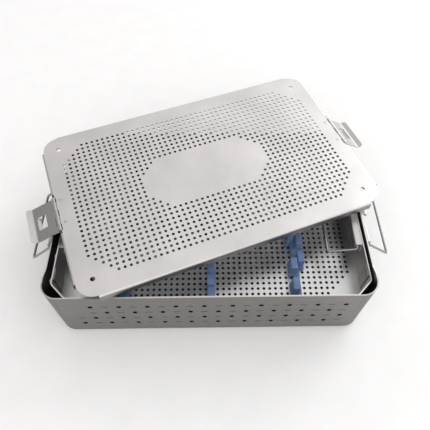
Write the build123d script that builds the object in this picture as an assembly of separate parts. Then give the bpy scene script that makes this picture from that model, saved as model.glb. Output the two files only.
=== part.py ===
"""Perforated instrument case: outer box, lift-out basket, loose lid with two hinged latches.

Frame: millimetres, origin at the centre of the outer box's underside, +X along the long side,
+Y from the front wall to the back wall, +Z up. The lid lies turned on the box's rim.
"""

from build123d import *
import math
import os

# Sheet and wire stock
SHEET = 1.0
BASKET_SHEET = 0.9
WIRE_RADIUS = 1.05
WIRE_BORE = 1.10
WIRE_BEND = 1.9
PIN_RADIUS = 1.0
PIN_BORE = 1.05
CURL_RADIUS = 1.95

# Outer box
BOX_WIDTH = 267.8
BOX_DEPTH = 174.2
BOX_HEIGHT = 70.0
BOX_CORNER = 14.0
PAN_HEIGHT = 3.0
SIDE_DIP = 3.2
SIDE_DIP_HALF = 59.8
SIDE_SHOULDER = 68.0
SIDE_DIP_ROUND = 8.0
WALL_HOLE_PITCH = 11.5
LONG_COLUMNS = 20
LONG_GRID_SHIFT = 0.75
TRIMMED_ROWS = 2
SHORT_COLUMNS = 12
WALL_HOLE_RADIUS = 2.0
WALL_SLOT = (5.4, 0.7)
WALL_ROWS = (52.7, 41.1, 29.6, 18.2)
BASE_HOLE_PITCH = 11.5
BASE_BLANK = (60.0, 36.0)

# Lift-out basket
BASKET_WIDTH = 260.0
BASKET_DEPTH = 167.0
BASKET_CHAMFER = 12.7
BASKET_BEND = 4.0
BASKET_FLOOR_TOP = 37.2
BASKET_RIM = 63.4
BASKET_X = 1.3
BASKET_Y = -0.4
SUPPORT_GAP = 0.1

# Fine perforation, shared by the lid and the basket floor
PITCH = 5.0
HOLE_RADIUS = 1.28
COLUMNS = 49
ROWS = 29

# Lid
LID_WIDTH = 274.0
LID_DEPTH = 176.5
LID_TOP = 77.0
LID_FLANGE = 6.8
LID_BEND = 2.0
LID_CORNER = 15.0
LID_YAW = 20.5
LID_CENTRE = (-2.65, 35.53)
LID_CORNER_HOLE = (121.3, 71.2)
LID_CORNER_HOLE_RADIUS = 2.0
FRONT_FLANGE_HALF = 120.0
SIDE_FLANGE_HALF = 71.0
HINGE_GAP_HALF = 21.0
BLANK_ROWS = (17, 19, 21, 23, 23, 23, 23, 23, 21, 19, 17)

# Latches and their hinges
HINGE_X = 136.2
HINGE_DROP = 1.95
HINGE_NOTCH = (134.0, 134.45, 18.3)
LATCH_HALF = 17.5
LATCH_REACH = 22.4
LATCH_LIP = 4.6
LATCH_BEND = 1.6
LATCH_WINDOW = (10.0, 18.4, 7.0)
LATCH_TONGUE = 3.6
LATCH_TONGUE_BEND = 45.0
LATCH_KNUCKLES = ((-17.5, -12.0), (-3.0, 3.0), (12.0, 17.5))
LEAF_KNUCKLES = ((-11.9, -3.1), (3.1, 11.9))
LATCH_DROOP = {"left": 18.0, "right": 35.0}

# Wire handles
OUTER_PIVOT = (4.3, 57.0)
OUTER_REACH = 26.3
OUTER_HALF = 34.0
EYES = ((-32.0, -15.0), (15.0, 32.0))
OUTER_DROOP = {"left": 43.0, "right": 38.0}
CATCH_TOP = 63.0
CATCH_OFFSET = 5.0
CATCH_LEG = 4.0
INNER_PIVOT = (4.6, 61.0)
INNER_REACH = 25.0
INNER_HALF = 40.5
INNER_DROOP = 8.0
INNER_BRACKET_HALF = 37.0

# Silicone instrument holders
HOLDER_X = (-71.7, 0.5, 75.3)
HOLDER_HALF = 80.0
RAIL_WIDTH = 6.6
RAIL_HEIGHT = 14.0
NOTCH_PITCH = 13.8
NOTCH_HALF = 1.6
NOTCH_DEPTH = 3.0
SPINE_HALF = 2.4
FOOT_HEIGHT = 4.0
FOOT_HALF = (3.6, 6.4)
FINGER_HALF = (2.7, 5.3)
FINGER_HEIGHT = 15.0
FINGER_STARTS = (-67.2, -17.6, 32.0)
FINGER_STEPS = ((0.0, -3.0), (19.0, -3.0), (25.6, 3.5), (43.2, 3.9))


def write(node, *solids):
    """Write one node as a STEP file, in millimetres."""
    shape = solids[0] if len(solids) == 1 else Compound(children=list(solids))
    export_step(shape, f"parts/{node}.step")


def side_name(sign):
    return "right" if sign > 0 else "left"


def block(x0, x1, y0, y1, z0, z1):
    """A box between two corners, as one solid."""
    size = (x1 - x0, y1 - y0, z1 - z0)
    return Pos((x0 + x1) / 2, (y0 + y1) / 2, (z0 + z1) / 2) * Solid.make_box(
        *size, Plane((-size[0] / 2, -size[1] / 2, -size[2] / 2))
    )


def round_hole(x, y, radius):
    return Wire([Edge.make_circle(radius, Plane((x, y, 0)))])


def slot_hole(x, y, length, height):
    half_x = length / 2
    half_y = height / 2
    signs = ((-1, -1), (1, -1), (1, 1), (-1, 1))
    return Wire.make_polygon([Vector(x + sx * half_x, y + sy * half_y, 0) for sx, sy in signs])


def plate(outline, holes, thickness):
    """A flat sheet with holes, lying on the XY plane and rising by its thickness."""
    return Solid.extrude(Face(outline, holes), Vector(0, 0, thickness))


def polygon(points):
    return Wire.make_polygon([Vector(x, y, 0) for x, y in points])


def rounded_outline(width, depth, radius):
    return RectangleRounded(width, depth, radius).face().outer_wire()


def octagon(width, depth, chamfer):
    far_x = width / 2
    far_y = depth / 2
    near_x = far_x - chamfer
    near_y = far_y - chamfer
    return [
        (far_x, near_y), (near_x, far_y), (-near_x, far_y), (-far_x, near_y),
        (-far_x, -near_y), (-near_x, -far_y), (near_x, -far_y), (far_x, -near_y),
    ]


def bail(end, half, reach):
    """A wire handle in the XY plane: ends at y = -end and end on its hinge axis Y, grip at x = reach."""
    points = [(0, -end, 0), (0, -half, 0), (reach, -half, 0), (reach, half, 0), (0, half, 0), (0, end, 0)]
    path = FilletPolyline(*points, radius=WIRE_BEND)
    section = Plane(path @ 0, z_dir=path % 0) * Circle(WIRE_RADIUS)
    return sweep(section, path=path).solid()


def tube(y0, y1, outer, bore):
    """A tube along Y about the origin."""
    ring = Plane((0, y0, 0), x_dir=(1, 0, 0), z_dir=(0, 1, 0)) * (Circle(outer) - Circle(bore))
    return extrude(ring, y1 - y0).solid()


def edge_inset(column, row):
    """True where the fine hole pattern is cut back at its corners."""
    from_end = min(row, ROWS - 1 - row)
    inset = max(0, 4 - from_end)
    return column < inset or column >= COLUMNS - inset


def fine_holes(blank_rows=()):
    """The 5 mm hole pattern about the origin, less its corners and a centred blank patch."""
    holes = []
    first_blank = (ROWS - len(blank_rows)) // 2
    for row in range(ROWS):
        blank = blank_rows[row - first_blank] if 0 <= row - first_blank < len(blank_rows) else 0
        for column in range(COLUMNS):
            from_centre = abs(column - (COLUMNS - 1) // 2)
            if edge_inset(column, row) or from_centre <= (blank - 1) // 2 and blank:
                continue
            x = (column - (COLUMNS - 1) / 2) * PITCH
            y = (row - (ROWS - 1) / 2) * PITCH
            holes.append(round_hole(x, y, HOLE_RADIUS))
    return holes


def wall_holes(columns, shift, trimmed_rows):
    """Four rows that alternate round holes and thin slots, on the wall's own (length, height) axes.

    The grid's centre is shifted along the wall, and the trimmed rows at the top lack their first hole.
    """
    holes = []
    for row, height in enumerate(WALL_ROWS):
        for column in range(1 if row < trimmed_rows else 0, columns):
            place = shift + (column - (columns - 1) / 2) * WALL_HOLE_PITCH
            if (column + row) % 2 == 1:
                holes.append(round_hole(place, height, WALL_HOLE_RADIUS))
            else:
                holes.append(slot_hole(place, height, *WALL_SLOT))
    return holes


def side_outline(half_length):
    """Outline of a short wall: its top edge dips between smooth shoulders near the corners."""
    low = BOX_HEIGHT - SIDE_DIP
    right_half = [
        (half_length, PAN_HEIGHT), (half_length, BOX_HEIGHT),
        (SIDE_SHOULDER, BOX_HEIGHT), (SIDE_DIP_HALF, low),
    ]
    left_half = [(-x, y) for x, y in reversed(right_half)]
    panel = make_face(Polyline(*right_half, *left_half, close=True))
    bends = [corner for corner in panel.vertices() if SIDE_DIP_HALF - 1 < abs(corner.X) < SIDE_SHOULDER + 1]
    return fillet(bends, SIDE_DIP_ROUND).face().outer_wire()


def wall_panel(outline, holes, plane):
    """One flat wall of the box, perforated; the plane lies on its inner face and looks outwards."""
    return plane.location * plate(outline, holes, SHEET)


def make_outer_walls():
    half_x = BOX_WIDTH / 2 - BOX_CORNER
    half_y = BOX_DEPTH / 2 - BOX_CORNER
    straight = [(-half_x, PAN_HEIGHT), (half_x, PAN_HEIGHT), (half_x, BOX_HEIGHT), (-half_x, BOX_HEIGHT)]
    front = Plane((0, -BOX_DEPTH / 2 + SHEET, 0), x_dir=(1, 0, 0), z_dir=(0, -1, 0))
    back = Plane((0, BOX_DEPTH / 2 - SHEET, 0), x_dir=(-1, 0, 0), z_dir=(0, 1, 0))
    long_holes = wall_holes(LONG_COLUMNS, LONG_GRID_SHIFT, TRIMMED_ROWS)
    write("front_wall", wall_panel(polygon(straight), long_holes, front))
    write("back_wall", wall_panel(polygon(straight), long_holes, back))
    side = side_outline(half_y)
    left = Plane((-BOX_WIDTH / 2 + SHEET, 0, 0), x_dir=(0, -1, 0), z_dir=(-1, 0, 0))
    right = Plane((BOX_WIDTH / 2 - SHEET, 0, 0), x_dir=(0, 1, 0), z_dir=(1, 0, 0))
    short_holes = wall_holes(SHORT_COLUMNS, 0, 0)
    write("left_wall", wall_panel(side, short_holes, left))
    write("right_wall", wall_panel(side, short_holes, right))
    ring = Circle(BOX_CORNER) - Circle(BOX_CORNER - SHEET)
    quadrant = Pos(BOX_CORNER / 2, BOX_CORNER / 2) * Rectangle(BOX_CORNER, BOX_CORNER)
    quarter = extrude(ring & quadrant, BOX_HEIGHT - PAN_HEIGHT)
    corners = [
        Pos(sx * half_x, sy * half_y, PAN_HEIGHT) * Rot(0, 0, turn) * quarter.solid()
        for sx, sy, turn in ((1, 1, 0), (-1, 1, 90), (-1, -1, 180), (1, -1, 270))
    ]
    write("wall_corners", *corners)


def make_base_pan():
    holes = []
    columns = int((BOX_WIDTH / 2 - BOX_CORNER / 2) // BASE_HOLE_PITCH)
    rows = int((BOX_DEPTH / 2 - BOX_CORNER / 2) // BASE_HOLE_PITCH)
    for i in range(-columns, columns + 1):
        for j in range(-rows, rows + 1):
            x = i * BASE_HOLE_PITCH
            y = j * BASE_HOLE_PITCH
            in_corner = abs(i) == columns and abs(j) == rows
            in_blank = abs(x) < BASE_BLANK[0] / 2 and abs(y) < BASE_BLANK[1] / 2
            if not in_corner and not in_blank:
                holes.append(round_hole(x, y, WALL_HOLE_RADIUS))
    bend = PAN_HEIGHT
    path = rounded_outline(BOX_WIDTH - 2 * bend, BOX_DEPTH - 2 * bend, BOX_CORNER - bend)
    sheet = plate(path, holes, SHEET)
    start = path @ 0
    tangent = path % 0
    outward = Vector(tangent.Y, -tangent.X, 0)
    if outward.dot(start) < 0:
        outward = -outward
    station = Plane((start.X, start.Y, bend), x_dir=outward, z_dir=outward.cross(Vector(0, 0, 1)))
    quarter = Circle(bend) - Circle(bend - SHEET)
    quarter = quarter & Pos(bend / 2, -bend / 2) * Rectangle(bend, bend)
    lip = sweep(station * quarter, path=path)
    write("base_pan", sheet.fuse(*lip.solids()).solid())


def make_supports():
    """Angle rails inside the short walls that carry the basket."""
    top = BASKET_FLOOR_TOP - BASKET_SHEET - SUPPORT_GAP
    inner = BOX_WIDTH / 2 - SHEET
    for sign in (-1, 1):
        upright = block(inner - SHEET, inner, -45, 45, top - 12, top)
        shelf = block(inner - 11, inner - SHEET, -45, 45, top - SHEET, top)
        rail = upright.fuse(shelf).solid()
        write(f"support_rail_{side_name(sign)}", rail if sign > 0 else rail.mirror(Plane.YZ))


def make_catch(wall):
    """Catch on the right-hand wall: a web out from the wall, curled down at its end."""
    top = CATCH_TOP
    centre = wall + CATCH_OFFSET
    ring = Circle(CURL_RADIUS) - Circle(CURL_RADIUS - SHEET)
    curl = ring - Pos(-CURL_RADIUS, -CURL_RADIUS) * Rectangle(2 * CURL_RADIUS, 2 * CURL_RADIUS)
    station = Plane((centre, -6, top - CURL_RADIUS), x_dir=(1, 0, 0), z_dir=(0, -1, 0))
    hook = extrude(station * curl, -12).solid()
    web = block(wall, centre, -6, 6, top - SHEET, top)
    leg = block(wall, wall + SHEET, -6, 6, top - CATCH_LEG, top)
    return hook.fuse(web, leg).solid()


def make_outer_handles():
    """Wall plate with curled eyes and a catch, and the wire bail that swings in the eyes."""
    wall = BOX_WIDTH / 2
    offset, height = OUTER_PIVOT
    for sign in (-1, 1):
        flat = block(-offset, -offset + SHEET, -32, 32, -9, CURL_RADIUS)
        eyes = [tube(y0, y1, CURL_RADIUS, WIRE_BORE) for y0, y1 in EYES]
        webs = [block(-offset, 0, y0, y1, CURL_RADIUS - SHEET * 0.8, CURL_RADIUS) for y0, y1 in EYES]
        bore = Solid.make_cylinder(WIRE_BORE, 70, Plane((0, -35, 0), z_dir=(0, 1, 0)))
        plate_solid = flat.fuse(*eyes, *webs).cut(bore).solid()
        place = Pos(wall + offset, 0, height)
        name = side_name(sign)
        bracket = place * plate_solid
        write(f"handle_plate_{name}", bracket if sign > 0 else bracket.mirror(Plane.YZ))
        catch = make_catch(wall)
        write(f"catch_{name}", catch if sign > 0 else catch.mirror(Plane.YZ))
        wire = bail(17, OUTER_HALF, OUTER_REACH)
        wire = place * Rot(0, OUTER_DROOP[name], 0) * wire
        write(f"carry_handle_{name}", wire if sign > 0 else wire.mirror(Plane.YZ))


def ring_piece(outer, inner, region, z0, z1):
    """The part of a wall ring that lies in a region, extruded between two heights."""
    return extrude(Pos(0, 0, z0) * ((outer - inner) & region), z1 - z0).solids()


def make_basket():
    shift = Pos(BASKET_X, BASKET_Y, 0)
    low = BASKET_FLOOR_TOP - BASKET_SHEET
    inset = BASKET_SHEET * 2
    shrink = BASKET_SHEET * (2 - math.sqrt(2))
    outer_points = octagon(BASKET_WIDTH, BASKET_DEPTH, BASKET_CHAMFER)
    inner_points = octagon(BASKET_WIDTH - inset, BASKET_DEPTH - inset, BASKET_CHAMFER - shrink)
    outer = fillet(make_face(Polyline(*outer_points, close=True)).vertices(), BASKET_BEND)
    inner = fillet(make_face(Polyline(*inner_points, close=True)).vertices(), BASKET_BEND - BASKET_SHEET)
    floor = shift * Pos(0, 0, low) * plate(outer.face().outer_wire(), fine_holes(), BASKET_SHEET)
    write("basket_floor", floor)
    straight_x = BASKET_WIDTH / 2 - BASKET_CHAMFER - BASKET_BEND
    straight_y = BASKET_DEPTH / 2 - BASKET_CHAMFER - BASKET_BEND
    top = BASKET_FLOOR_TOP
    regions = {
        "basket_wall_front": Pos(0, -BASKET_DEPTH / 2) * Rectangle(2 * straight_x, 6),
        "basket_wall_back": Pos(0, BASKET_DEPTH / 2) * Rectangle(2 * straight_x, 6),
        "basket_wall_left": Pos(-BASKET_WIDTH / 2, 0) * Rectangle(6, 2 * straight_y),
        "basket_wall_right": Pos(BASKET_WIDTH / 2, 0) * Rectangle(6, 2 * straight_y),
    }
    for node, region in regions.items():
        write(node, *[shift * solid for solid in ring_piece(outer, inner, region, top, BASKET_RIM)])
    corners = []
    for sx in (-1, 1):
        for sy in (-1, 1):
            reach = BASKET_CHAMFER + BASKET_BEND
            place = Pos(sx * (BASKET_WIDTH / 2 - reach / 2), sy * (BASKET_DEPTH / 2 - reach / 2))
            corners += ring_piece(outer, inner, place * Rectangle(reach, reach), top, BASKET_RIM)
    write("basket_corners", *[shift * solid for solid in corners])
    make_corner_laps(shift)
    make_basket_handles(shift)


def make_corner_laps(shift):
    """Lap tabs spot-welded inside the left and right walls, beside each folded corner."""
    tabs = []
    inner_x = BASKET_WIDTH / 2 - BASKET_SHEET
    for sx in (-1, 1):
        for sy in (-1, 1):
            x0, x1 = sorted((sx * inner_x, sx * (inner_x - BASKET_SHEET)))
            corner_y = BASKET_DEPTH / 2 - BASKET_CHAMFER
            y0, y1 = sorted((sy * (corner_y - 5), sy * (corner_y - 15)))
            tabs.append(shift * block(x0, x1, y0, y1, BASKET_FLOOR_TOP + 0.1, BASKET_RIM - 1.5))
    write("corner_laps", *tabs)


def make_basket_handles(shift):
    """Bracket folded over each short wall's rim, and the wire handle folded down into the basket."""
    offset, height = INNER_PIVOT
    inner_wall = BASKET_WIDTH / 2 - BASKET_SHEET
    half = INNER_BRACKET_HALF
    for sign in (-1, 1):
        name = side_name(sign)
        strip = block(offset - SHEET, offset, -half, half, -9, CURL_RADIUS)
        bridge = block(0, offset, -half, half, CURL_RADIUS - SHEET, CURL_RADIUS)
        eye = tube(-half, half, CURL_RADIUS, WIRE_BORE)
        bore = Solid.make_cylinder(WIRE_BORE, 2 * half + 2, Plane((0, -half - 1, 0), z_dir=(0, 1, 0)))
        bracket = strip.fuse(bridge, eye).cut(bore).solid()
        place = Pos(inner_wall - offset, 0, height)
        bracket = place * bracket
        write(f"basket_bracket_{name}", shift * (bracket if sign > 0 else bracket.mirror(Plane.YZ)))
        wire = bail(half - 8, INNER_HALF, -INNER_REACH)
        wire = place * Rot(0, -INNER_DROOP, 0) * wire
        write(f"basket_handle_{name}", shift * (wire if sign > 0 else wire.mirror(Plane.YZ)))


def notched_rail():
    """A straight silicone rail with shallow notches across its top."""
    rail = block(-RAIL_WIDTH / 2, RAIL_WIDTH / 2, -HOLDER_HALF, HOLDER_HALF, 0, RAIL_HEIGHT)
    count = int((HOLDER_HALF - 4) // NOTCH_PITCH)
    notches = []
    for step in range(-count, count + 1):
        y0 = step * NOTCH_PITCH - NOTCH_HALF
        y1 = step * NOTCH_PITCH + NOTCH_HALF
        notches.append(block(-RAIL_WIDTH, RAIL_WIDTH, y0, y1, RAIL_HEIGHT - NOTCH_DEPTH, RAIL_HEIGHT + 1))
    return rail.cut(*notches).solid()


def finger_places():
    """(across, along) of every finger block of the stepped rail."""
    return [(across, start + along) for start in FINGER_STARTS for along, across in FINGER_STEPS]


def finger_rail():
    """A silicone spine whose feet and finger blocks step from one side to the other in pairs."""
    spine = block(-SPINE_HALF, SPINE_HALF, -HOLDER_HALF, HOLDER_HALF, 0, FOOT_HEIGHT)
    feet = []
    fingers = []
    for across, along in finger_places():
        low = max(along - FOOT_HALF[1], -HOLDER_HALF)
        high = min(along + FOOT_HALF[1], HOLDER_HALF)
        feet.append(block(across - FOOT_HALF[0], across + FOOT_HALF[0], low, high, 0, FOOT_HEIGHT))
        half_x, half_y = FINGER_HALF
        finger = block(
            across - half_x, across + half_x, along - half_y, along + half_y, FOOT_HEIGHT - 1, FINGER_HEIGHT
        )
        fingers.append(finger.fillet(1.2, finger.edges().group_by(Axis.Z)[-1]))
    return spine.fuse(*feet, *fingers).solid()


def make_holders():
    """Three silicone holders on the basket floor, each with pegs through the perforation."""
    names = ("holder_left", "holder_middle", "holder_right")
    for name, x in zip(names, HOLDER_X):
        holder = finger_rail() if name == "holder_right" else notched_rail()
        write(name, Pos(x, BASKET_Y, BASKET_FLOOR_TOP) * holder)
        column = round((x - BASKET_X) / PITCH)
        pegs = []
        for row in (-12, 0, 12):
            peg_x = BASKET_X + column * PITCH
            peg_y = BASKET_Y + row * PITCH
            low = BASKET_FLOOR_TOP - BASKET_SHEET
            stem = Solid.make_cylinder(HOLE_RADIUS, BASKET_SHEET, Plane((peg_x, peg_y, low)))
            head = Solid.make_cylinder(2.0, 1.2, Plane((peg_x, peg_y, low - 1.2)))
            pegs.append(stem.fuse(head).solid())
        write(f"{name}_pegs", *pegs)


def lid_place():
    return Pos(LID_CENTRE[0], LID_CENTRE[1], LID_TOP) * Rot(0, 0, LID_YAW)


def flange(length0, length1, reach):
    """One bent edge along local X from length0 to length1, bending down beyond y = reach - bend."""
    bend = LID_BEND
    ring = Circle(bend) - Circle(bend - SHEET)
    arc = ring & Pos(bend / 2, bend / 2) * Rectangle(bend, bend)
    leg = Pos(bend - SHEET / 2, -(LID_FLANGE - bend) / 2) * Rectangle(SHEET, LID_FLANGE - bend)
    profile = arc + leg
    plane = Plane((length0, reach - bend, -bend), x_dir=(0, 1, 0), z_dir=(1, 0, 0))
    return extrude(plane * profile, length1 - length0).solid()


def make_lid():
    place = lid_place()
    half_x = LID_WIDTH / 2
    half_y = LID_DEPTH / 2
    bend = LID_BEND
    near_x, edge_x, notch_half = HINGE_NOTCH
    flat = RectangleRounded(LID_WIDTH - 2 * bend, LID_DEPTH - 2 * bend, LID_CORNER)
    for sx in (-1, 1):
        flat -= Pos(sx * (edge_x + 5), 0) * Rectangle(10, 2 * notch_half)
        for y0, y1 in LATCH_KNUCKLES:
            flat -= Pos(sx * (near_x + 5), sx * (y0 + y1) / 2) * Rectangle(10, y1 - y0 + 0.6)
    sheet = flat.face().outer_wire()
    holes = fine_holes(BLANK_ROWS)
    for sx in (-1, 1):
        for sy in (-1, 1):
            holes.append(round_hole(sx * LID_CORNER_HOLE[0], sy * LID_CORNER_HOLE[1], LID_CORNER_HOLE_RADIUS))
    write("lid_panel", place * Pos(0, 0, -SHEET) * plate(sheet, holes, SHEET))
    long_edge = flange(-FRONT_FLANGE_HALF, FRONT_FLANGE_HALF, half_y)
    write("lid_flange_back", place * long_edge)
    write("lid_flange_front", place * Rot(0, 0, 180) * long_edge)
    spans = ((-SIDE_FLANGE_HALF, -HINGE_GAP_HALF), (HINGE_GAP_HALF, SIDE_FLANGE_HALF))
    short_edges = [flange(y0, y1, half_x) for y0, y1 in spans]
    write("lid_flange_left", *[place * Rot(0, 0, 90) * edge for edge in short_edges])
    write("lid_flange_right", *[place * Rot(0, 0, -90) * edge for edge in short_edges])


def make_hinge_leaf():
    """Leaf under the lid's short edge, curled round the hinge pin; local X points outwards."""
    edge = HINGE_NOTCH[0]
    leaf = block(HINGE_X - 13, edge, -LATCH_HALF, LATCH_HALF, -2 * SHEET, -SHEET)
    necks = [block(edge - 1, HINGE_X, y0, y1, -2 * SHEET, -SHEET) for y0, y1 in LEAF_KNUCKLES]
    curls = [Pos(HINGE_X, 0, -HINGE_DROP) * tube(y0, y1, CURL_RADIUS, PIN_RADIUS) for y0, y1 in LEAF_KNUCKLES]
    bore = Solid.make_cylinder(PIN_RADIUS, 50, Plane((HINGE_X, -25, -HINGE_DROP), z_dir=(0, 1, 0)))
    return leaf.fuse(*necks, *curls).cut(bore).solid()


def make_latch():
    """Latch plate level, hinge axis on Y through the origin, local X pointing outwards."""
    near, far, window_half = LATCH_WINDOW
    half = SHEET / 2
    start = LATCH_REACH - LATCH_BEND
    sheet = block(0, start, -LATCH_HALF, LATCH_HALF, -half, half)
    outer = LATCH_BEND + SHEET
    wedge = make_face(Polyline((0, 0), (0, -2 * outer), (2 * outer, -2 * outer), close=True))
    bend = (Circle(outer) - Circle(LATCH_BEND)) & wedge
    station = Plane((start, LATCH_HALF, half + LATCH_BEND), x_dir=(1, 0, 0), z_dir=(0, -1, 0))
    bend = extrude(station * bend, 2 * LATCH_HALF).solid()
    lip = block(0, LATCH_LIP, -LATCH_HALF, LATCH_HALF, -SHEET, 0)
    tips = [edge for edge in lip.edges().filter_by(Axis.Z) if edge.center().X > 1]
    turn = math.radians(45)
    tip_x = start + LATCH_BEND * math.sin(turn)
    tip_z = half + LATCH_BEND * (1 - math.cos(turn))
    lip = Pos(tip_x, 0, tip_z) * Rot(0, -45, 0) * lip.fillet(2.8, tips)
    window = block(near, far, -window_half, window_half, -2, 2)
    spaces = [block(-3, CURL_RADIUS + 0.35, y0 - 0.1, y1 + 0.1, -3, 3) for y0, y1 in LEAF_KNUCKLES]
    curls = [tube(y0, y1, CURL_RADIUS, PIN_BORE) for y0, y1 in LATCH_KNUCKLES]
    tongue = block(-LATCH_TONGUE, 0, -window_half + 0.5, window_half - 0.5, -SHEET, 0)
    tongue = Pos(far + 0.3, 0, half) * Rot(0, -LATCH_TONGUE_BEND, 0) * tongue
    body = sheet.fuse(bend, lip).cut(window, *spaces)
    bore = Solid.make_cylinder(PIN_BORE, 50, Plane((0, -25, 0), z_dir=(0, 1, 0)))
    return body.fuse(tongue, *curls).cut(bore).solid()


def make_latches():
    place = lid_place()
    leaf = make_hinge_leaf()
    latch = make_latch()
    pin_end = Plane((HINGE_X, -LATCH_HALF, -HINGE_DROP), z_dir=(0, 1, 0))
    pin = Solid.make_cylinder(PIN_RADIUS, 2 * LATCH_HALF, pin_end)
    for name, turn in (("right", 0), ("left", 180)):
        side = place * Rot(0, 0, turn)
        write(f"hinge_leaf_{name}", side * leaf)
        write(f"hinge_pin_{name}", side * pin)
        write(f"latch_{name}", side * Pos(HINGE_X, 0, -HINGE_DROP) * Rot(0, LATCH_DROOP[name], 0) * latch)


def main():
    os.makedirs("parts", exist_ok=True)
    make_base_pan()
    make_outer_walls()
    make_supports()
    make_outer_handles()
    make_basket()
    make_holders()
    make_lid()
    make_latches()


main()
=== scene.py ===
"""Looks for the perforated instrument case: finishes, small details, light and camera.

The scene is in metres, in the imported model's frame. Named sizes are in millimetres, and MM turns them into
metres, except where a comment says that they are in metres.
"""

import math

import bmesh
import bpy
from mathutils import Matrix, Vector


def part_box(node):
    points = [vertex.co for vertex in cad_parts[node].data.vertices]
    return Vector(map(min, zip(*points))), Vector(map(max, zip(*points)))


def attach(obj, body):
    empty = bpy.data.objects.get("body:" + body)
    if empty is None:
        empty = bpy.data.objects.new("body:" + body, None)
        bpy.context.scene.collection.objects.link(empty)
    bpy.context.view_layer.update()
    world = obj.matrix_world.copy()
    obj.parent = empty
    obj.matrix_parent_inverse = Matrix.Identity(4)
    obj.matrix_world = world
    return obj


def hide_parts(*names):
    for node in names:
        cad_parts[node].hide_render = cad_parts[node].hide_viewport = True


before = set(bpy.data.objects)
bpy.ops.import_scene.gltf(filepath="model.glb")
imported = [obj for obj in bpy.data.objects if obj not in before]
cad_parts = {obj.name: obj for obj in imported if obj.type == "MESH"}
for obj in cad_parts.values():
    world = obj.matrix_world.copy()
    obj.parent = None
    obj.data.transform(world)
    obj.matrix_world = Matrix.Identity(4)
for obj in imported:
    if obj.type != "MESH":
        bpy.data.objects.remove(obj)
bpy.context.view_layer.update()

MM = 0.001
UP = Vector((0, 0, 1))

# Camera, at the angle the case is seen from, with its near limit in metres
CAMERA_PLACE = Vector((-0.90, -225.66, 394.27)) * MM
CAMERA_FORWARD = Vector((0.01422, 0.55290, -0.83313))
CAMERA_ROLL = math.radians(0.695)
CAMERA_LENS = 37.47
CAMERA_SENSOR = 36.0
CAMERA_NEAR = 0.01

# Surround: tones from -X to +X, as (share of the way, colour), and their strength
WORLD_STRENGTH = 1.3
WORLD_TONES = (
    (0.12, (0.30, 0.29, 0.29)),
    (0.33, (0.585, 0.57, 0.565)),
    (0.50, (0.70, 0.69, 0.68)),
    (0.67, (0.80, 0.795, 0.79)),
    (0.90, (1.0, 1.0, 1.0)),
)

# Square area lights, as (name, place, aim, side, power), in metres and watts
LAMPS = (
    ("front_fill", (-0.5, -0.9, 1.2), (0.0, 0.0, 0.05), 1.2, 4.0),
    ("key_back_right", (0.9, 0.8, 0.6), (0.05, 0.0, 0.05), 0.8, 4.0),
)

# Floor, in metres: how far it reaches each way, and how far below the case it lies
FLOOR_REACH = 3.0
FLOOR_DROP = 0.0002

# Finishes: plain tones, tones of the polished rims made lighter as a painted highlight, a near-black painted
# shade for the insides of the punched holes, and the height above which level faces count as rims
WHITE = (1.0, 1.0, 1.0)
PAINTED_HOLE_SHADE = (0.03, 0.03, 0.03)
LONG_WALL_POLISH_AND_HIGHLIGHT = (0.57, 0.555, 0.54)
SHORT_WALL_POLISH_AND_HIGHLIGHT = (0.68, 0.665, 0.65)
BASKET_POLISH_AND_HIGHLIGHT = (0.80, 0.79, 0.78)
RIM_LEVEL = 60.0 * MM

# Stretch of the noise patterns: the same every way, or a brushed grain, long one way and fine across.
# The range is the part of a noise's 0 to 1 that it mostly keeps to.
EVEN = (1.0, 1.0, 1.0)
LONG = 60.0
FINE = 5200.0
GRAIN_ALONG = {
    "X": (LONG, FINE, FINE),
    "Y": (FINE, LONG, FINE),
    "XY": (LONG, LONG, FINE),
}
NOISE_RANGE = (0.3, 0.7)

# The lid's own frame: its centre on the top face and its turn about Z
LID_CENTRE = Vector((-2.65, 35.53, 77.0)) * MM
LID_TURN = Matrix.Rotation(math.radians(20.5), 4, "Z")
LID_PLACE = Matrix.Translation(LID_CENTRE) @ LID_TURN

# Silicone holders, on the basket's floor: their places, and half of their length
HOLDER_X = {"holder_left": -71.7, "holder_middle": 0.5, "holder_right": 75.3}
HOLDER_Y = -0.4
FLOOR_TOP = 37.2
HOLDER_HALF = 80.0

# Notched rails
RAIL_HALF_WIDTH = 3.3
RAIL_TOP = 14.0
RAIL_PLAIN_END = 4.0
RAIL_ROUNDING = 0.6
NOTCH_PITCH = 13.8
NOTCH_HALF = 1.6
NOTCH_DEPTH = 3.0
NOTCH_SLOPE = 0.25

# Stepped finger rail: halves are (across, along), and steps are (along, across) from each start
SPINE_HALF = 2.4
FOOT_HEIGHT = 4.0
FOOT_HALF = (3.6, 6.4)
FINGER_HALF = (2.7, 5.3)
FINGER_ROOT = 1.0
FINGER_HEIGHT = 15.0
FINGER_ROUNDING = 1.1
FINGER_STARTS = (-67.2, -17.6, 32.0)
FINGER_STEPS = ((0.0, -3.0), (19.0, -3.0), (25.6, 3.5), (43.2, 3.9))

# Rounding of the silicone's edges
ROUNDING_STEPS = 4
ROUNDED_ANGLE = math.radians(35)

# Spot welds, on the lid over its hinge leaves and on the faces of the handle plates.
# Each size is (radius, height), and the rise is measured from a plate's lower edge.
LEAF_WELD_X = 130.6
LEAF_WELD_YS = (-11.0, 13.0)
LEAF_WELD = (1.9, 0.06)
PLATE_FACE_X = 134.9
PLATE_WELD_YS = (-24.0, -8.0, 8.0, 24.0)
PLATE_WELD_RISE = 3.2
PLATE_WELD = (1.6, 0.12)
WELD_RINGS = 4
WELD_SEGMENTS = 20


# ---------------------------------------------------------------- colours and shader nodes

def grey(tone):
    return (tone, tone, tone)


def scaled(color, factor):
    return [min(1.0, channel * factor) for channel in color]


def new_material(name, metallic=0.0):
    material = bpy.data.materials.new(name)
    material.use_nodes = True
    tree = material.node_tree
    shader = tree.nodes["Principled BSDF"]
    shader.inputs["Metallic"].default_value = metallic
    return material, tree, shader


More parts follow.
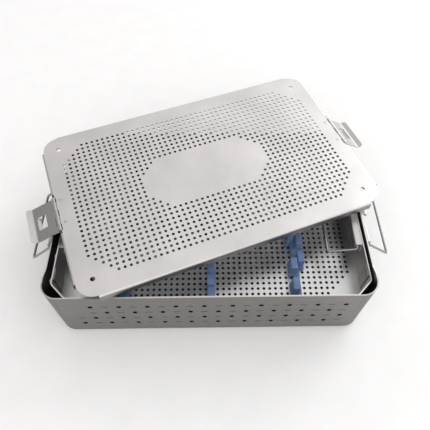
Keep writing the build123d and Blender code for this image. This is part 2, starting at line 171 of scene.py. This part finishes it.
def add_node(tree, kind, **values):
    """Adds a node; each value is for the input of that name, or else for the node's own setting."""
    node = tree.nodes.new(kind)
    for name, value in values.items():
        if name in node.inputs:
            node.inputs[name].default_value = value
        else:
            setattr(node, name, value)
    return node


def feed(tree, socket, value):
    """Links an output to a socket, or sets the socket to a plain value."""
    if isinstance(value, bpy.types.NodeSocket):
        tree.links.new(value, socket)
    else:
        socket.default_value = value


def axes_of(tree, coordinate):
    """The X, Y and Z outputs of a texture coordinate, such as Object or Normal."""
    place = add_node(tree, "ShaderNodeTexCoord")
    split = add_node(tree, "ShaderNodeSeparateXYZ")
    tree.links.new(place.outputs[coordinate], split.inputs["Vector"])
    return split.outputs


def stretched(tree, stretch):
    """Object coordinates in metres, stretched per axis for a directional grain."""
    place = add_node(tree, "ShaderNodeTexCoord")
    mapping = add_node(tree, "ShaderNodeMapping", Scale=stretch)
    tree.links.new(place.outputs["Object"], mapping.inputs["Vector"])
    return mapping.outputs["Vector"]


def noise(tree, vector, scale, detail=2.0, roughness=0.5):
    node = add_node(tree, "ShaderNodeTexNoise", Scale=scale, Detail=detail, Roughness=roughness)
    tree.links.new(vector, node.inputs["Vector"])
    return node.outputs["Fac"]


def ramp(tree, factor, stops):
    """Colours along a factor; each stop is (position, colour)."""
    node = add_node(tree, "ShaderNodeValToRGB")
    elements = node.color_ramp.elements
    while len(elements) < len(stops):
        elements.new(0.5)
    for element, (position, color) in zip(elements, stops):
        element.position = position
        element.color = (*color, 1.0)
    tree.links.new(factor, node.inputs["Fac"])
    return node.outputs["Color"]


def calculated(tree, operation, *values):
    """The result of a math node, whose values are outputs of other nodes or plain numbers."""
    node = add_node(tree, "ShaderNodeMath", operation=operation)
    for socket, value in zip(node.inputs, values):
        feed(tree, socket, value)
    return node.outputs["Value"]


def ranged(tree, value, source, target=(0.0, 1.0)):
    """Maps a value from one (low, high) range to another, and holds it there."""
    node = add_node(tree, "ShaderNodeMapRange")
    for name, limit in zip(("From Min", "From Max", "To Min", "To Max"), (*source, *target)):
        node.inputs[name].default_value = limit
    tree.links.new(value, node.inputs["Value"])
    return node.outputs["Result"]


def mixed(tree, blend, factor, first, second):
    """Mixes two colours; the factor is a number or another node's output."""
    node = add_node(tree, "ShaderNodeMix", data_type="RGBA", blend_type=blend)
    feed(tree, node.inputs["Factor"], factor)
    tree.links.new(first, node.inputs["A"])
    tree.links.new(second, node.inputs["B"])
    return node.outputs["Result"]


def bumped(tree, shader, heights):
    """Chain of bumps, coarse first; each entry is (height output, strength, distance in metres)."""
    normal = None
    for height, strength, distance in heights:
        node = add_node(tree, "ShaderNodeBump", Strength=strength, Distance=distance)
        tree.links.new(height, node.inputs["Height"])
        if normal is not None:
            tree.links.new(normal, node.inputs["Normal"])
        normal = node.outputs["Normal"]
    tree.links.new(normal, shader.inputs["Normal"])


def finish_surface(tree, shader, tint, worn, rough):
    """Sets a surface's colour, and a roughness that follows a noise between the two given limits."""
    tree.links.new(tint, shader.inputs["Base Color"])
    tree.links.new(ranged(tree, worn, NOISE_RANGE, rough), shader.inputs["Roughness"])


# ---------------------------------------------------------------- painted light and shade that follow the shape

def level_share(tree, low, high):
    """0 to 1 as a surface turns from upright to level, between two sizes of its normal's Z."""
    size = calculated(tree, "ABSOLUTE", axes_of(tree, "Normal")["Z"])
    return ranged(tree, size, (low, high))


def paint_corner_shade(tree, tint, tone):
    """Paints shade on the faces that look between X and Y, where the sheet is rolled round a corner."""
    axes = axes_of(tree, "Normal")
    both = calculated(tree, "MULTIPLY", axes["X"], axes["Y"])
    share = calculated(tree, "ABSOLUTE", both)
    return mixed(tree, "MULTIPLY", 1.0, tint, ramp(tree, share, [(0.0, WHITE), (0.5, grey(tone))]))


def polished_tops_with_painted_light(tree, tint, tone):
    """Gives level faces above RIM_LEVEL the tone of polished top edges, made lighter as a painted highlight,
    and below it a dark painted shade, inside the punched holes.
    """
    high = calculated(tree, "GREATER_THAN", axes_of(tree, "Object")["Z"], RIM_LEVEL)
    highlight_and_hole_shade = ramp(tree, high, [(0.4, PAINTED_HOLE_SHADE), (0.6, tone)])
    return mixed(tree, "MIX", level_share(tree, 0.55, 0.90), tint, highlight_and_hole_shade)


def paint_upright_shade(tree, tint, tone):
    """Paints shade on a level sheet's upright faces: its turned-down edges and the insides of its holes."""
    shade = ramp(tree, level_share(tree, 0.35, 0.95), [(0.0, grey(tone)), (1.0, WHITE)])
    return mixed(tree, "MULTIPLY", 1.0, tint, shade)


# ---------------------------------------------------------------- materials

def blasted_steel(name, base, rough, upright_painted_shade=1.0, warm=0.0):
    """Bead-blasted stainless sheet: even fine pitting, faint blotches, and painted shade on its upright
    faces.

    The tone given for the upright faces is that painted shade, and warm is the red that is added to the
    lighter blotches.
    """
    material, tree, shader = new_material(name, metallic=1.0)
    even = stretched(tree, EVEN)
    blotch = noise(tree, even, scale=22.0, detail=3.0)
    pitting = noise(tree, even, scale=FINE, roughness=0.6)
    smear = noise(tree, stretched(tree, (60.0, 14.0, 40.0)), scale=1.0, detail=4.0, roughness=0.6)
    high = scaled(base, 1.05)
    high[0] = min(1.0, high[0] * (1.0 + warm))
    tint = ramp(tree, blotch, [(0.35, scaled(base, 0.93)), (0.65, high)])
    marks = ramp(tree, smear, [(0.3, grey(0.93)), (0.62, WHITE)])
    tint = paint_upright_shade(tree, mixed(tree, "MULTIPLY", 0.6, tint, marks), upright_painted_shade)
    finish_surface(tree, shader, tint, smear, (rough - 0.05, rough + 0.06))
    bumped(tree, shader, [(blotch, 0.05, 0.0004), (pitting, 0.35, 0.00002)])
    return material


def brushed_steel(name, base, rough, along, contrast=0.12, rim_polish_and_highlight=None, painted_corner_shade=0.0):
    """Brushed stainless sheet with its grain along an axis.

    One given tone is for its polished top edges, made lighter as a painted highlight, and a given strength
    darkens its rounded corners as painted shade.
    """
    material, tree, shader = new_material(name, metallic=1.0)
    stretch = GRAIN_ALONG[along]
    wide_stretch = [value * 0.16 for value in stretch]
    grain = noise(tree, stretched(tree, stretch), scale=1.0, detail=3.0, roughness=0.65)
    wide = noise(tree, stretched(tree, wide_stretch), scale=1.0)
    blotch = noise(tree, stretched(tree, EVEN), scale=30.0, detail=3.0)
    low = scaled(base, 1 - contrast)
    high = scaled(base, 1 + contrast * 0.8)
    lines = ramp(tree, grain, [(0.32, low), (0.68, high)])
    cloud = ramp(tree, blotch, [(0.35, grey(0.90)), (0.65, WHITE)])
    tint = mixed(tree, "MULTIPLY", 0.5, lines, cloud)
    if painted_corner_shade:
        tint = paint_corner_shade(tree, tint, 1.0 - painted_corner_shade)
    if rim_polish_and_highlight is not None:
        tint = polished_tops_with_painted_light(tree, tint, rim_polish_and_highlight)
    finish_surface(tree, shader, tint, wide, (rough - 0.06, rough + 0.07))
    bumped(tree, shader, [(grain, 0.22, 0.00003)])
    return material


def drawn_wire(name, base, rough):
    """Drawn and tumbled wire: fine draw lines along Y, and small nicks."""
    material, tree, shader = new_material(name, metallic=1.0)
    nicks = noise(tree, stretched(tree, EVEN), scale=900.0, detail=3.0, roughness=0.6)
    lines = noise(tree, stretched(tree, (3000.0, 150.0, 3000.0)), scale=1.0)
    tint = ramp(tree, lines, [(0.3, scaled(base, 0.82)), (0.7, base)])
    finish_surface(tree, shader, tint, nicks, (rough - 0.07, rough + 0.10))
    bumped(tree, shader, [(nicks, 0.12, 0.00006), (lines, 0.1, 0.00002)])
    return material


def silicone(name, base):
    """Matt moulded silicone: soft mottling, dusty highs, a fine moulded skin."""
    material, tree, shader = new_material(name)
    even = stretched(tree, EVEN)
    mottle = noise(tree, even, scale=160.0, detail=4.0, roughness=0.6)
    skin = noise(tree, even, scale=3200.0)
    tint = ramp(tree, mottle, [(0.3, scaled(base, 0.80)), (0.7, scaled(base, 1.22))])
    finish_surface(tree, shader, tint, mottle, (0.50, 0.66))
    shader.inputs["Subsurface Weight"].default_value = 0.12
    shader.inputs["Subsurface Scale"].default_value = 0.002
    shader.inputs["Specular IOR Level"].default_value = 0.4
    shader.inputs["Sheen Weight"].default_value = 0.15
    bumped(tree, shader, [(mottle, 0.12, 0.0002), (skin, 0.25, 0.00003)])
    return material


def paper_floor(name):
    """Matt white paper with a faint fibre."""
    material, tree, shader = new_material(name)
    fibre = noise(tree, stretched(tree, EVEN), scale=40.0, detail=3.0)
    tint = ramp(tree, fibre, [(0.3, grey(0.93)), (0.7, grey(0.96))])
    tree.links.new(tint, shader.inputs["Base Color"])
    shader.inputs["Roughness"].default_value = 0.9
    return material


# Lid and basket floor: painted shade on their upright faces, the turned-down edges and the insides of the
# holes
LID = blasted_steel("lid_blasted_steel", (0.73, 0.715, 0.71), 0.42, upright_painted_shade=0.42, warm=0.01)
BASE = blasted_steel("base_pan_steel", (0.12, 0.12, 0.12), 0.50)
BASKET_FLOOR = blasted_steel("basket_floor_steel", (0.72, 0.72, 0.73), 0.34, upright_painted_shade=0.35)

# Walls and basket: polished top edges made lighter as a painted highlight, and a dark painted shade on level
# faces lower down, inside the punched holes; the outer box also has painted shade on its rounded corners
OUTER = brushed_steel(
    "outer_brushed_steel", (0.245, 0.235, 0.228), 0.40, "XY", rim_polish_and_highlight=LONG_WALL_POLISH_AND_HIGHLIGHT, painted_corner_shade=0.40)
OUTER_SHORT = brushed_steel("outer_brushed_short", (0.30, 0.295, 0.29), 0.40, "Y", rim_polish_and_highlight=SHORT_WALL_POLISH_AND_HIGHLIGHT)
BASKET_WALL = brushed_steel("basket_wall_steel", (0.52, 0.515, 0.51), 0.36, "X", rim_polish_and_highlight=BASKET_POLISH_AND_HIGHLIGHT)
BASKET_END = brushed_steel("basket_end_steel", (0.40, 0.385, 0.37), 0.40, "Y", rim_polish_and_highlight=BASKET_POLISH_AND_HIGHLIGHT)
BASKET_LAP = brushed_steel("basket_lap_steel", (0.36, 0.345, 0.33), 0.42, "Y")
FITTING = brushed_steel("fitting_steel", (0.58, 0.575, 0.57), 0.32, "Y", contrast=0.06)
LATCH = brushed_steel("latch_steel", (0.52, 0.505, 0.505), 0.30, "Y", contrast=0.05)

WIRE = drawn_wire("drawn_wire", (0.36, 0.355, 0.35), 0.30)
WELD = drawn_wire("weld_marks", (0.60, 0.585, 0.57), 0.40)
BLUE = silicone("blue_silicone", (0.125, 0.20, 0.37))

NODE_MATERIALS = {
    LID: ("lid_panel", "lid_flange_front", "lid_flange_back", "lid_flange_left", "lid_flange_right"),
    OUTER: ("front_wall", "back_wall", "wall_corners"),
    OUTER_SHORT: ("left_wall", "right_wall", "support_rail_left", "support_rail_right"),
    BASE: ("base_pan",),
    BASKET_FLOOR: ("basket_floor",),
    BASKET_WALL: ("basket_wall_front", "basket_wall_back", "basket_corners"),
    BASKET_LAP: ("corner_laps",),
    BASKET_END: ("basket_wall_left", "basket_wall_right"),
    FITTING: ("handle_plate_left", "handle_plate_right", "catch_left", "catch_right",
              "basket_bracket_left", "basket_bracket_right", "hinge_leaf_left", "hinge_leaf_right"),
    LATCH: ("latch_left", "latch_right"),
    WIRE: ("carry_handle_left", "carry_handle_right", "basket_handle_left", "basket_handle_right",
           "hinge_pin_left", "hinge_pin_right"),
    BLUE: ("holder_left_pegs", "holder_middle_pegs", "holder_right_pegs"),
}


def dress_nodes():
    for material, names in NODE_MATERIALS.items():
        for name in names:
            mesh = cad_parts[name].data
            mesh.materials.clear()
            mesh.materials.append(material)


# ---------------------------------------------------------------- objects and meshes

def linked_object(name, data):
    item = bpy.data.objects.new(name, data)
    bpy.context.scene.collection.objects.link(item)
    return item


def add_piece(name, mesh, material, body):
    piece = linked_object(name, mesh)
    mesh.materials.append(material)
    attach(piece, body)
    return piece


def mesh_from(name, bm):
    mesh = bpy.data.meshes.new(name)
    bm.to_mesh(mesh)
    bm.free()
    return mesh


def applied_mesh(item):
    """The mesh that an object's modifiers make."""
    graph = bpy.context.evaluated_depsgraph_get()
    return bpy.data.meshes.new_from_object(item.evaluated_get(graph))


def closed_object(name, bm):
    bmesh.ops.recalc_face_normals(bm, faces=bm.faces)
    return linked_object(name, mesh_from(name, bm))


def box_object(name, low, high):
    bm = bmesh.new()
    bmesh.ops.create_cube(bm, size=1.0)
    size = high - low
    middle = (high + low) / 2
    for vertex in bm.verts:
        vertex.co = vertex.co * size + middle
    return closed_object(name, bm)


def joined(base, others):
    """Unions simple closed objects into one new object, named after the first."""
    for other in others:
        union = base.modifiers.new("union", "BOOLEAN")
        union.operation = "UNION"
        union.solver = "EXACT"
        union.object = other
    mesh = applied_mesh(base)
    name = base.name
    for used in (base, *others):
        bpy.data.objects.remove(used)
    return linked_object(name, mesh)


def rounded_mesh(block, radius):
    """Rounds a blocky object's edges, and gives its smooth-shaded mesh in its place."""
    edge = block.modifiers.new("edge", "BEVEL")
    edge.width = radius * MM
    edge.segments = ROUNDING_STEPS
    edge.limit_method = "ANGLE"
    edge.angle_limit = ROUNDED_ANGLE
    result = applied_mesh(block)
    bpy.data.objects.remove(block)
    result.shade_smooth()
    return result


# ---------------------------------------------------------------- silicone holders

def holder_place(name):
    return Vector((HOLDER_X[name], HOLDER_Y, FLOOR_TOP))


def notch_stations():
    """The rail's top from end to end, as (place along it, height)."""
    low = RAIL_TOP - NOTCH_DEPTH
    count = int((HOLDER_HALF - RAIL_PLAIN_END) // NOTCH_PITCH)
    stations = [(-HOLDER_HALF, RAIL_TOP)]
    for step in range(-count, count + 1):
        middle = step * NOTCH_PITCH
        stations += [
            (middle - NOTCH_HALF - NOTCH_SLOPE, RAIL_TOP),
            (middle - NOTCH_HALF, low),
            (middle + NOTCH_HALF, low),
            (middle + NOTCH_HALF + NOTCH_SLOPE, RAIL_TOP),
        ]
    stations.append((HOLDER_HALF, RAIL_TOP))
    return stations


def notched_rail(name):
    """Straight rail whose top is cut by shallow notches, lofted along Y."""
    place = holder_place(name)
    half = RAIL_HALF_WIDTH
    bm = bmesh.new()
    rings = []
    for y, top in notch_stations():
        section = [(-half, 0), (half, 0), (half, top), (-half, top)]
        rings.append([bm.verts.new((place + Vector((x, y, z))) * MM) for x, z in section])
    corners = len(rings[0])
    for first, second in zip(rings, rings[1:]):
        for i in range(corners):
            j = (i + 1) % corners
            bm.faces.new((first[i], first[j], second[j], second[i]))
    bm.faces.new(list(reversed(rings[0])))
    bm.faces.new(rings[-1])
    return rounded_mesh(closed_object(name + "_rail", bm), RAIL_ROUNDING)


def finger_rail(name):
    """Spine on the floor whose feet and soft finger blocks step from side to side in pairs."""
    place = holder_place(name)

    def lump(low, high):
        return box_object("lump", (place + Vector(low)) * MM, (place + Vector(high)) * MM)

    spine = lump((-SPINE_HALF, -HOLDER_HALF, 0), (SPINE_HALF, HOLDER_HALF, FOOT_HEIGHT))
    foot_x, foot_y = FOOT_HALF
    finger_x, finger_y = FINGER_HALF
    lumps = []
    for start in FINGER_STARTS:
        for along, x in FINGER_STEPS:
            y = start + along
            foot_low = max(y - foot_y, -HOLDER_HALF)
            foot_high = min(y + foot_y, HOLDER_HALF)
            lumps.append(lump((x - foot_x, foot_low, 0), (x + foot_x, foot_high, FOOT_HEIGHT)))
            finger_low = (x - finger_x, y - finger_y, FINGER_ROOT)
            lumps.append(lump(finger_low, (x + finger_x, y + finger_y, FINGER_HEIGHT)))
    return rounded_mesh(joined(spine, lumps), FINGER_ROUNDING)


def add_holders():
    for name in HOLDER_X:
        mesh = finger_rail(name) if name == "holder_right" else notched_rail(name)
        piece = add_piece(name + "_soft", mesh, BLUE, "basket")
        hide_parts(name)


# ---------------------------------------------------------------- spot welds

def weld_mesh(name, spots, size):
    """Shallow lens-shaped weld marks of one (radius, height); each spot is (centre, outward normal).

    A mark's outer ring lies just under the sheet, so that its edge never stands clear.
    """
    radius, height = (value * MM for value in size)
    bm = bmesh.new()
    for centre, normal in spots:
        turn = normal.to_track_quat("Z", "Y").to_matrix()
        previous = None
        for ring in range(WELD_RINGS):
            share = 1 - ring / WELD_RINGS
            level = height * math.cos(share * math.pi / 2) if ring else -height
            row = []
            for step in range(WELD_SEGMENTS):
                angle = 2 * math.pi * step / WELD_SEGMENTS
                spot = Vector((radius * share * math.cos(angle), radius * share * math.sin(angle), level))
                row.append(bm.verts.new(centre + turn @ spot))
            if previous is None:
                bm.faces.new(list(reversed(row)))
            else:
                for step in range(WELD_SEGMENTS):
                    after = (step + 1) % WELD_SEGMENTS
                    bm.faces.new((previous[step], previous[after], row[after], row[step]))
            previous = row
        bm.faces.new(previous)
    mesh = mesh_from(name, bm)
    mesh.shade_smooth()
    return mesh


def add_spot_welds():
    """Weld marks where the hinge leaves and the handle plates are fixed to their sheets."""
    lid_spots = []
    for side in (-1, 1):
        for y in LEAF_WELD_YS:
            local = Vector((side * LEAF_WELD_X, y, 0.0)) * MM
            lid_spots.append((LID_PLACE @ local, UP))
    lid_mesh = weld_mesh("lid_spot_welds", lid_spots, LEAF_WELD)
    add_piece("lid_spot_welds", lid_mesh, WELD, "lid")
    for name, side in (("left", -1), ("right", 1)):
        plate_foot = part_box("handle_plate_" + name)[0][2]
        height = plate_foot + PLATE_WELD_RISE * MM
        outward = Vector((side, 0, 0))
        spots = [(Vector((side * PLATE_FACE_X * MM, y * MM, height)), outward) for y in PLATE_WELD_YS]
        plate_mesh = weld_mesh("welds", spots, PLATE_WELD)
        add_piece("handle_plate_welds_" + name, plate_mesh, WELD, "outer_box")


# ---------------------------------------------------------------- camera, light and floor

def add_camera():
    data = bpy.data.cameras.new("camera")
    data.lens = CAMERA_LENS
    data.sensor_width = CAMERA_SENSOR
    data.clip_start = CAMERA_NEAR
    forward = CAMERA_FORWARD.normalized()
    level = forward.cross(UP).normalized()
    upright = level.cross(forward)
    right = level * math.cos(CAMERA_ROLL) + upright * math.sin(CAMERA_ROLL)
    above = right.cross(forward)
    turn = Matrix((right, above, -forward)).transposed().to_4x4()
    camera = linked_object("camera", data)
    camera.matrix_world = Matrix.Translation(CAMERA_PLACE) @ turn
    bpy.context.scene.camera = camera


def area_light(name, place, aim, side, power):
    data = bpy.data.lights.new(name, "AREA")
    data.shape = "SQUARE"
    data.size = side
    data.energy = power
    lamp = linked_object(name, data)
    lamp.location = place
    lamp.rotation_euler = (Vector(aim) - Vector(place)).to_track_quat("-Z", "Y").to_euler()


def studio_world():
    """White surround that is dimmer and a little warmer towards -X, and brighter towards +X."""
    world = bpy.data.worlds.new("studio")
    world.use_nodes = True
    tree = world.node_tree
    share = ranged(tree, axes_of(tree, "Generated")["X"], (-1.0, 1.0))
    background = tree.nodes["Background"]
    tree.links.new(ramp(tree, share, WORLD_TONES), background.inputs["Color"])
    background.inputs["Strength"].default_value = WORLD_STRENGTH
    return world


def add_light():
    scene = bpy.context.scene
    scene.view_settings.view_transform = "Standard"
    scene.world = studio_world()
    for lamp in LAMPS:
        area_light(*lamp)


def add_floor():
    bm = bmesh.new()
    bmesh.ops.create_grid(bm, x_segments=1, y_segments=1, size=FLOOR_REACH)
    mesh = mesh_from("floor", bm)
    mesh.materials.append(paper_floor("floor_paper"))
    floor = linked_object("floor", mesh)
    floor.location = (0, 0, -FLOOR_DROP)


def main():
    dress_nodes()
    add_holders()
    add_spot_welds()
    add_camera()
    add_light()
    add_floor()


main()
